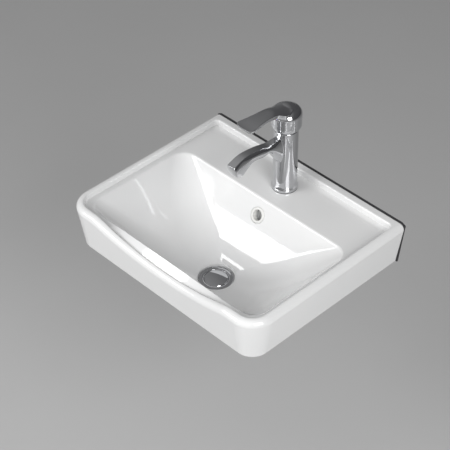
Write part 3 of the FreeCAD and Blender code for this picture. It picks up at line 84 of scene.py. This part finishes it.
class Wire:
    """An output socket whose arithmetic adds Math nodes to its material."""

    def __init__(self, shading: "Shading", socket: bpy.types.NodeSocket) -> None:
        """Wraps a socket.

        Args:
            shading: the material that the socket belongs to.
            socket: the output socket.
        """
        self.shading = shading
        self.socket = socket

    def _math(self, operation: str, first: "Wire | float", second: "Wire | float") -> "Wire":
        """Adds a Math node."""
        return self.shading.node("ShaderNodeMath", {"operation": operation}, {0: first, 1: second})

    def __add__(self, other: "Wire | float") -> "Wire":
        """Sum of two values."""
        return self._math("ADD", self, other)

    def __sub__(self, other: "Wire | float") -> "Wire":
        """Difference of two values."""
        return self._math("SUBTRACT", self, other)

    def __rsub__(self, other: float) -> "Wire":
        """A number less this value."""
        return self._math("SUBTRACT", other, self)

    def __mul__(self, other: "Wire | float") -> "Wire":
        """Product of two values."""
        return self._math("MULTIPLY", self, other)

    def above(self, limit: float) -> "Wire":
        """1 where the value is over a limit, otherwise 0."""
        return self._math("GREATER_THAN", self, limit)

    __radd__ = __add__
    __rmul__ = __mul__


class Shading:
    """Node tree of one material or of the world."""

    def __init__(self, tree: bpy.types.NodeTree) -> None:
        """Keeps the tree that the nodes go into."""
        self.tree = tree

    def node(self, kind: str, settings: dict | None = None, inputs: dict | None = None,
             output: int | str = 0) -> Wire:
        """Adds a node.

        Args:
            kind: the node's type.
            settings: its properties; "stops" is a ramp's list of (place, colour).
            inputs: values or wires by the socket's number or name.
            output: number or name of the output to give.

        Returns:
            The chosen output.
        """
        node = self.tree.nodes.new(kind)
        for name, value in (settings or {}).items():
            if name == "stops":
                self._set_stops(node.color_ramp, value)
            else:
                setattr(node, name, value)
        for name, value in (inputs or {}).items():
            self.plug(node.inputs[name], value)
        return Wire(self, node.outputs[output])

    def _set_stops(self, ramp: bpy.types.ColorRamp,
                   stops: Sequence[tuple[float, tuple[float, ...]]]) -> None:
        """Gives a ramp its stops."""
        while len(ramp.elements) < len(stops):
            ramp.elements.new(1.0)
        for element, (place, colour) in zip(ramp.elements, stops):
            element.position = place
            element.color = colour

    def plug(self, socket: bpy.types.NodeSocket, value: "Wire | float | tuple") -> None:
        """Links a wire to an input, or sets its value."""
        if isinstance(value, Wire):
            self.tree.links.new(value.socket, socket)
        else:
            socket.default_value = value


@dataclass(frozen=True)
class Finish:
    """A surface finish: plain numbers of the shader and what varies over it."""

    slot: Slot
    colour: tuple[float, float, float]
    second: tuple[float, float, float]
    roughness: tuple[float, float]
    metallic: float = 0.0
    coat: float = 0.0
    coat_roughness: float = 0.03
    ior: float = 1.5
    patch_scale: float = 25.0
    grain_scale: float = 900.0
    grain_height: float = 0.00002
    grain_strength: float = 0.3

    def start(self) -> tuple[bpy.types.Material, Shading, bpy.types.ShaderNodeBsdfPrincipled]:
        """Makes the material with its constant values set."""
        material = bpy.data.materials.new(self.slot.value)
        material.use_nodes = True
        shader = material.node_tree.nodes["Principled BSDF"]
        shader.inputs["Metallic"].default_value = self.metallic
        shader.inputs["Coat Weight"].default_value = self.coat
        shader.inputs["Coat Roughness"].default_value = self.coat_roughness
        shader.inputs["IOR"].default_value = self.ior
        return material, Shading(material.node_tree), shader

    def place(self, shading: Shading) -> Wire:
        """Object coordinates, in metres."""
        return shading.node("ShaderNodeTexCoord", output="Object")

    def noise(self, shading: Shading, scale: float, detail: float = 3.0) -> Wire:
        """Noise over the surface, from 0 to 1."""
        inputs = {"Vector": self.place(shading), "Scale": scale, "Detail": detail}
        return shading.node("ShaderNodeTexNoise", None, inputs)

    def blended(self, shading: Shading, share: Wire, first: Sequence | Wire,
                second: Sequence | Wire) -> Wire:
        """Mixes two colours."""
        colours = [c if isinstance(c, Wire) else (*c, 1.0) for c in (first, second)]
        settings = {"data_type": "RGBA", "clamp_factor": True}
        inputs = {MIX_SHARE: share, MIX_FIRST: colours[0], MIX_SECOND: colours[1]}
        return shading.node("ShaderNodeMix", settings, inputs, MIX_COLOUR)

    def uneven(self, shading: Shading) -> tuple[Wire, Wire]:
        """Colour and roughness that drift softly over the surface."""
        drift = self.noise(shading, self.patch_scale)
        low, high = self.roughness
        return self.blended(shading, drift, self.colour, self.second), drift * (high - low) + low

    def relief(self, shading: Shading, height: Wire) -> Wire:
        """Bump from a height."""
        inputs = {"Strength": self.grain_strength, "Distance": self.grain_height, "Height": height}
        return shading.node("ShaderNodeBump", None, inputs)

    def build(self) -> bpy.types.Material:
        """Makes the finished material.

        Returns:
            A material with drifting colour and roughness and a fine grain.
        """
        material, shading, shader = self.start()
        colour, roughness = self.uneven(shading)
        shading.plug(shader.inputs["Base Color"], colour)
        shading.plug(shader.inputs["Roughness"], roughness)
        grain = self.relief(shading, self.noise(shading, self.grain_scale, detail=2.0))
        shading.plug(shader.inputs["Normal"], grain)
        return material


@dataclass(frozen=True)
class Glaze(Finish):
    """Fired white glaze, with the bare back of the casting left matt."""

    bare_colour: tuple[float, float, float] = (0.62, 0.58, 0.52)
    bare_from: float = -0.0036
    bare_foot: float = -0.1236
    bare_roughness: float = 0.75

    def build(self) -> bpy.types.Material:
        """Makes the glaze: soft gloss with a faint ripple, bare on the back and the boss's foot."""
        material, shading, shader = self.start()
        colour, roughness = self.uneven(shading)
        spot = shading.node("ShaderNodeSeparateXYZ", None, {0: self.place(shading)}, "Y")
        foot = shading.node("ShaderNodeSeparateXYZ", None, {0: self.place(shading)}, "Z")
        bare = spot.above(self.bare_from) + (1 - foot.above(self.bare_foot))
        shading.plug(shader.inputs["Base Color"],
                     self.blended(shading, bare, colour, self.bare_colour))
        dull = bare * (self.bare_roughness - self.roughness[0])
        shading.plug(shader.inputs["Roughness"], roughness + dull)
        ripple = self.relief(shading, self.noise(shading, self.grain_scale, detail=1.0))
        shading.plug(shader.inputs["Normal"], ripple)
        return material


@dataclass(frozen=True)
class Turned(Finish):
    """Metal with fine rings left by the lathe round an upright axis."""

    axis_y: float = 0.0
    ring_scale: float = 900.0
    ring_wander: float = 0.6

    def build(self) -> bpy.types.Material:
        """Makes the metal with its lathe rings."""
        material, shading, shader = self.start()
        colour, roughness = self.uneven(shading)
        shading.plug(shader.inputs["Base Color"], colour)
        shading.plug(shader.inputs["Roughness"], roughness)
        centred = shading.node("ShaderNodeMapping", None, {
            "Vector": self.place(shading), "Location": (0.0, -self.axis_y, 0.0)})
        rings = shading.node("ShaderNodeTexWave", {"wave_type": "RINGS", "rings_direction": "Z"},
                             {"Vector": centred, "Scale": self.ring_scale,
                              "Distortion": self.ring_wander})
        shading.plug(shader.inputs["Normal"], self.relief(shading, rings))
        return material


@dataclass(frozen=True)
class IndexMark(Finish):
    """Plug marked red for hot on the left and blue for cold on the right."""

    divider: float = 0.00025
    divider_colour: tuple[float, float, float] = (0.75, 0.75, 0.77)

    def build(self) -> bpy.types.Material:
        """Makes the two-coloured mark with a pale line between its halves."""
        material, shading, shader = self.start()
        across = shading.node("ShaderNodeSeparateXYZ", None, {0: self.place(shading)}, "X")
        halves = self.blended(shading, across.above(0.0), self.colour, self.second)
        size = shading.node("ShaderNodeMath", {"operation": "ABSOLUTE"}, {0: across})
        marked = self.blended(shading, size.above(self.divider), self.divider_colour, halves)
        shading.plug(shader.inputs["Base Color"], marked)
        low, high = self.roughness
        shading.plug(shader.inputs["Roughness"],
                     self.noise(shading, self.patch_scale) * (high - low) + low)
        grain = self.relief(shading, self.noise(shading, self.grain_scale, detail=2.0))
        shading.plug(shader.inputs["Normal"], grain)
        return material


FINISHES = (
    Glaze(Slot.GLAZE, (0.80, 0.805, 0.81), (0.82, 0.82, 0.815), (0.05, 0.09), coat=0.4,
          patch_scale=9.0, grain_scale=55.0, grain_height=0.0003, grain_strength=0.06),
    Finish(Slot.CHROME, (0.62, 0.625, 0.64), (0.58, 0.585, 0.60), (0.035, 0.07), metallic=1.0,
           patch_scale=60.0, grain_scale=140.0, grain_height=0.0001, grain_strength=0.03),
    # Wall pad: its near black is partly the real rubber pad and partly painted shadow standing in
    # for the shade in the gap between basin and wall.
    Finish(Slot.PAD_AND_SHADOW_GAP, (0.030, 0.030, 0.033), (0.045, 0.045, 0.048), (0.6, 0.8),
           grain_scale=1400.0, grain_height=0.0002, grain_strength=0.5),
    Finish(Slot.SEAL, (0.020, 0.020, 0.022), (0.032, 0.032, 0.034), (0.45, 0.65),
           grain_scale=1800.0, grain_height=0.0001, grain_strength=0.3),
    Finish(Slot.ZINC, (0.56, 0.57, 0.58), (0.66, 0.67, 0.69), (0.28, 0.42), metallic=1.0,
           patch_scale=150.0, grain_scale=2200.0, grain_strength=0.25),
    Turned(Slot.BRASS, (0.66, 0.47, 0.20), (0.74, 0.56, 0.28), (0.22, 0.36), metallic=1.0,
           patch_scale=120.0, grain_strength=0.3, axis_y=-0.063),
    Finish(Slot.WHITE, (0.72, 0.72, 0.70), (0.78, 0.78, 0.76), (0.38, 0.5),
           grain_scale=1200.0, grain_height=0.00008, grain_strength=0.3),
    Finish(Slot.GREY, (0.10, 0.105, 0.115), (0.13, 0.135, 0.145), (0.4, 0.55),
           grain_scale=1200.0, grain_height=0.00008, grain_strength=0.3),
    IndexMark(Slot.INDEX, (0.50, 0.02, 0.03), (0.03, 0.06, 0.45), (0.12, 0.2), coat=0.5),
)


class Workshop:
    """Holds the finishes and dresses pieces with them."""

    def __init__(self) -> None:
        """Makes every finish of the record once."""
        self.materials = {finish.slot: finish.build() for finish in FINISHES}

    def dress_node(self, name: str, slot: Slot) -> None:
        """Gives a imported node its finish."""
        mesh = frame["nodes"][name].data
        mesh.materials.clear()
        mesh.materials.append(self.materials[slot])

    def dress_all_nodes(self) -> None:
        """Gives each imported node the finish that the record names."""
        for part in frame["record"]["subparts"]:
            self.dress_node(part["node"], Slot(part["material_slot"]))
            LOG.info("%s: %s", part["node"], part["material_slot"])


# ---------------------------------------------------------------- fine forms

@dataclass(frozen=True)
class Thread:
    """A screw thread on a round piece, as V grooves between crest and root.

    facet_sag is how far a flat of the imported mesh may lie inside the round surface, and
    level_slack how far a root may be off its level, as a share of half a pitch.
    """

    centre: tuple[float, float, float]
    along: str
    radius: float
    start: float
    end: float
    pitch: float
    depth: float
    facet_sag: float = 0.0004
    level_slack: float = 0.02

    def direction(self) -> Vector:
        """Unit vector along the thread."""
        return Vector((0.0, 1.0, 0.0) if self.along == "Y" else (0.0, 0.0, 1.0))

    def levels(self) -> list[float]:
        """Distances along the axis of each crest and root, in turn."""
        count = int((self.end - self.start) / self.pitch) * 2
        return [self.start + self.pitch / 2 * step for step in range(count + 1)]

    def at_root(self, point: Vector, last_step: int) -> bool:
        """Whether a point of the mesh lies at the bottom of a groove.

        Args:
            point: the point.
            last_step: number of the last crest, counted in half pitches.

        Returns:
            True at a root on the round surface.
        """
        axis = self.direction()
        offset = point - Vector(self.centre)
        level = offset.dot(axis)
        step = (level - self.start) / (self.pitch / 2)
        on_thread = -0.5 < step < last_step - 0.5
        at_level = round(step) % 2 == 1 and abs(step - round(step)) < self.level_slack
        across = (offset - axis * level).length
        return on_thread and at_level and abs(across - self.radius) < self.facet_sag

    def cut(self, mesh: bmesh.types.BMesh) -> None:
        """Cuts the grooves into a mesh.

        Args:
            mesh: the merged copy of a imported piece.
        """
        axis, centre = self.direction(), Vector(self.centre)
        levels = self.levels()
        for level in levels:
            geometry = mesh.verts[:] + mesh.edges[:] + mesh.faces[:]
            bmesh.ops.bisect_plane(mesh, geom=geometry, dist=CUT_TOLERANCE,
                                   plane_co=centre + axis * level, plane_no=axis)
        last_step = len(levels) - 1
        roots = [vertex for vertex in mesh.verts if self.at_root(vertex.co, last_step)]
        shrink = 1.0 - self.depth / self.radius
        scale = (shrink, 1.0, shrink) if self.along == "Y" else (shrink, shrink, 1.0)
        bmesh.ops.scale(mesh, verts=roots, vec=scale, space=Matrix.Translation(-centre))


@dataclass
class Reshaped:
    """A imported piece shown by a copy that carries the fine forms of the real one."""

    node: str
    body: Body
    slot: Slot
    threads: Sequence[Thread] = ()
    edge_break: float = 0.0
    sharp_angle: float = 0.6
    flat_angle: float = 0.004
    smooth_angle: float = math.radians(32.0)
    bevel_segments: int = 2

    def merged_copy(self) -> bmesh.types.BMesh:
        """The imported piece's mesh with its loose triangles joined."""
        mesh = bmesh.new()
        mesh.from_mesh(frame["nodes"][self.node].data)
        bmesh.ops.remove_doubles(mesh, verts=mesh.verts, dist=JOIN_DISTANCE)
        return mesh

    def break_edges(self, mesh: bmesh.types.BMesh) -> None:
        """Bevels the sharp edges."""
        bmesh.ops.dissolve_limit(mesh, angle_limit=self.flat_angle, verts=mesh.verts,
                                 edges=mesh.edges)
        sharp = [edge for edge in mesh.edges
                 if len(edge.link_faces) == 2 and edge.calc_face_angle() > self.sharp_angle]
        bmesh.ops.bevel(mesh, geom=sharp, offset=self.edge_break,
                        segments=self.bevel_segments, profile=0.5, affect="EDGES",
                        material=-1, clamp_overlap=True)

    def build(self, workshop: Workshop) -> bpy.types.Object:
        """Makes the piece in place of its node.

        Args:
            workshop: gives the finish.

        Returns:
            The new piece.
        """
        mesh = self.merged_copy()
        for thread in self.threads:
            thread.cut(mesh)
        if self.edge_break:
            self.break_edges(mesh)
        bmesh.ops.triangulate(mesh, faces=mesh.faces)
        data = bpy.data.meshes.new(f"{self.node}_formed")
        mesh.to_mesh(data)
        mesh.free()
        data.shade_smooth()
        data.set_sharp_from_angle(angle=self.smooth_angle)
        data.materials.append(workshop.materials[self.slot])
        piece = bpy.data.objects.new(f"{self.node}_formed", data)
        bpy.context.scene.collection.objects.link(piece)
        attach(piece, self.body.value)
        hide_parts(self.node)
        LOG.info("%s: %d faces", piece.name, len(data.polygons))
        return piece


@dataclass
class HangerSet:
    """Two hanger bolts with machine thread into the room and coarse screw thread in the wall."""

    spacing: float = 0.28
    thread_radius: float = 0.0045
    thread_pitch: float = 0.0015
    thread_depth: float = 0.0006
    room_end: float = -0.0425
    room_start: float = -0.0215
    screw_radius: float = 0.005
    screw_pitch: float = 0.0032
    screw_depth: float = 0.0011
    screw_start: float = 0.008
    screw_end: float = 0.045
    nut_edge: float = 0.0007
    washer_edge: float = 0.0003

    def threads(self) -> list[Thread]:
        """The threads of both bolts."""
        cuts = []
        for side in (-1, 1):
            centre = (side * self.spacing / 2, 0.0, 0.0)
            cuts.append(Thread(centre, "Y", self.thread_radius, self.room_end, self.room_start,
                               self.thread_pitch, self.thread_depth))
            cuts.append(Thread(centre, "Y", self.screw_radius, self.screw_start, self.screw_end,
                               self.screw_pitch, self.screw_depth))
        return cuts

    def build(self, workshop: Workshop) -> None:
        """Makes bolts, nuts and washers."""
        Reshaped("hanger_bolts", Body.ROOT, Slot.ZINC, self.threads()).build(workshop)
        Reshaped("hanger_nuts", Body.ROOT, Slot.ZINC, edge_break=self.nut_edge).build(workshop)
        Reshaped("hanger_washers", Body.ROOT, Slot.ZINC,
                 edge_break=self.washer_edge).build(workshop)


@dataclass
class TapFixing:
    """Threaded stud under the tap with its nut and horseshoe plate."""

    axis: tuple[float, float, float] = (0.0, -0.052, 0.0)
    radius: float = 0.00395
    foot: float = -0.003
    top: float = 0.027
    pitch: float = 0.00125
    depth: float = 0.0005
    nut_edge: float = 0.0006
    plate_edge: float = 0.0003

    def build(self, workshop: Workshop) -> None:
        """Makes stud, nut and plate."""
        thread = Thread(self.axis, "Z", self.radius, self.foot, self.top, self.pitch, self.depth)
        Reshaped("tap_fixing_stud", Body.ROOT, Slot.ZINC, [thread]).build(workshop)
        Reshaped("tap_fixing_nut", Body.ROOT, Slot.BRASS,
                 edge_break=self.nut_edge).build(workshop)
        Reshaped("tap_fixing_plate", Body.ROOT, Slot.ZINC,
                 edge_break=self.plate_edge).build(workshop)


@dataclass
class Tap:
    """Pillar with spout, and the lever, with the small radii that polishing leaves."""

    pillar_edge: float = 0.0006
    lever_edge: float = 0.0009

    def build(self, workshop: Workshop) -> None:
        """Makes pillar and lever."""
        Reshaped("tap_body", Body.ROOT, Slot.CHROME, edge_break=self.pillar_edge).build(workshop)
        Reshaped("lever_handle", Body.LEVER, Slot.CHROME,
                 edge_break=self.lever_edge).build(workshop)


@dataclass
class WasteFitting:
    """Waste with its pipe thread, back nut and washer."""

    axis: tuple[float, float, float] = (0.0, -0.24, 0.0)
    radius: float = 0.02095
    foot: float = -0.1715
    top: float = -0.1455
    pitch: float = 0.002309
    depth: float = 0.0009
    nut_edge: float = 0.0012
    washer_edge: float = 0.0003

    def build(self, workshop: Workshop) -> None:
        """Makes the threaded waste, its back nut and its washer."""
        thread = Thread(self.axis, "Z", self.radius, self.foot, self.top, self.pitch, self.depth)
        Reshaped("waste_body", Body.ROOT, Slot.CHROME, [thread]).build(workshop)
        Reshaped("waste_back_nut", Body.ROOT, Slot.BRASS,
                 edge_break=self.nut_edge).build(workshop)
        Reshaped("waste_washer", Body.ROOT, Slot.WHITE,
                 edge_break=self.washer_edge).build(workshop)


# ---------------------------------------------------------------- studio

@dataclass(frozen=True)
class Lamp:
    """A soft rectangular lamp: where it hangs, its size in metres and its power in watts."""

    name: str
    at: tuple[float, float, float]
    size: tuple[float, float]
    power: float


@dataclass
class Studio:
    """Camera at the photograph's angle, pale floor, soft lamps and a plain room to mirror."""

    lens: float = 124.77
    sensor: float = 36.0
    sight_length: float = 50.0
    eye: tuple[float, float, float] = (1.5172, -1.7049, 1.8473)
    target: tuple[float, float, float] = (-0.0214, -0.1960, 0.0138)
    roll: float = -0.108
    floor_level: float = -0.55
    floor_size: float = 14.0
    floor_roughness: float = 0.9
    floor_gloss: float = 0.1
    floor_patch_scale: float = 3.0
    floor_tones: tuple[float, float] = (0.50, 0.53)
    room_strength: float = 0.55
    room_front: tuple[float, float, float] = (-0.42, -0.88, 0.22)
    room_tones: Sequence[tuple[float, tuple[float, ...]]] = (
        (0.0, (0.13, 0.13, 0.135, 1.0)), (0.32, (0.20, 0.20, 0.205, 1.0)),
        (0.55, (0.55, 0.55, 0.55, 1.0)), (1.0, (0.95, 0.95, 0.95, 1.0)))
    lamps: Sequence[Lamp] = (Lamp("key", (-1.1, -2.4, 1.3), (1.6, 1.2), 42.0),
                             Lamp("fill", (1.9, -0.9, 1.0), (1.0, 1.6), 34.0))

    def camera(self) -> None:
        """Places the camera."""
        data = bpy.data.cameras.new("camera")
        data.lens = self.lens
        data.sensor_width = self.sensor
        data.clip_end = self.sight_length
        camera = bpy.data.objects.new("camera", data)
        bpy.context.scene.collection.objects.link(camera)
        sight = (Vector(self.target) - Vector(self.eye)).to_track_quat("-Z", "Y").to_matrix()
        turn = Matrix.Rotation(math.radians(self.roll), 3, "Z")
        camera.matrix_world = Matrix.Translation(self.eye) @ (sight @ turn).to_4x4()
        bpy.context.scene.camera = camera

    def floor(self) -> None:
        """Lays a plain pale floor with a faint drift in its tone."""
        mesh = bmesh.new()
        bmesh.ops.create_grid(mesh, x_segments=2, y_segments=2, size=self.floor_size / 2)
        bmesh.ops.translate(mesh, verts=mesh.verts, vec=(0.0, 0.0, self.floor_level))
        data = bpy.data.meshes.new("floor")
        mesh.to_mesh(data)
        mesh.free()
        floor = bpy.data.objects.new("floor", data)
        bpy.context.scene.collection.objects.link(floor)
        material = bpy.data.materials.new("floor_paint")
        material.use_nodes = True
        shader = material.node_tree.nodes["Principled BSDF"]
        shader.inputs["Roughness"].default_value = self.floor_roughness
        shader.inputs["Specular IOR Level"].default_value = self.floor_gloss
        shading = Shading(material.node_tree)
        place = shading.node("ShaderNodeTexCoord", output="Object")
        mottle = shading.node("ShaderNodeTexNoise", None,
                              {"Vector": place, "Scale": self.floor_patch_scale})
        dark, light = ((tone, tone, tone, 1.0) for tone in self.floor_tones)
        colours = {MIX_SHARE: mottle, MIX_FIRST: dark, MIX_SECOND: light}
        paint = shading.node("ShaderNodeMix", {"data_type": "RGBA"}, colours, MIX_COLOUR)
        shading.plug(shader.inputs["Base Color"], paint)
        data.materials.append(material)

    def hang(self, lamp: Lamp) -> None:
        """Adds a lamp that looks at the basin."""
        data = bpy.data.lights.new(lamp.name, "AREA")
        data.shape = "RECTANGLE"
        data.size, data.size_y = lamp.size
        data.energy = lamp.power
        light = bpy.data.objects.new(lamp.name, data)
        bpy.context.scene.collection.objects.link(light)
        sight = Vector(self.target) - Vector(lamp.at)
        aim = sight.to_track_quat("-Z", "Y").to_matrix().to_4x4()
        light.matrix_world = Matrix.Translation(lamp.at) @ aim

    def world(self) -> None:
        """Room light for the chrome: bright in front and to the left, dim behind the wall."""
        world = bpy.data.worlds.new("room")
        world.use_nodes = True
        bpy.context.scene.world = world
        shading = Shading(world.node_tree)
        way = shading.node("ShaderNodeTexCoord", output="Generated")
        facing = shading.node("ShaderNodeVectorMath", {"operation": "DOT_PRODUCT"},
                              {0: way, 1: self.room_front}, "Value")
        tone = shading.node("ShaderNodeValToRGB", {"stops": self.room_tones},
                            {0: facing * 0.5 + 0.5})
        sky = world.node_tree.nodes["Background"]
        shading.plug(sky.inputs["Color"], tone)
        sky.inputs["Strength"].default_value = self.room_strength

    def build(self) -> None:
        """Sets up camera, floor, lamps and world."""
        bpy.context.scene.view_settings.view_transform = "Standard"
        self.camera()
        self.floor()
        self.world()
        for lamp in self.lamps:
            self.hang(lamp)


def main() -> None:
    """Builds every part of the picture in order."""
    logging.basicConfig(level=logging.INFO, format="%(name)s: %(message)s")
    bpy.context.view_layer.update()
    workshop = Workshop()
    workshop.dress_all_nodes()
    for assembly in (HangerSet(), TapFixing(), Tap(), WasteFitting()):
        assembly.build(workshop)
    Studio().build()


if __name__ == "__main__":
    main()
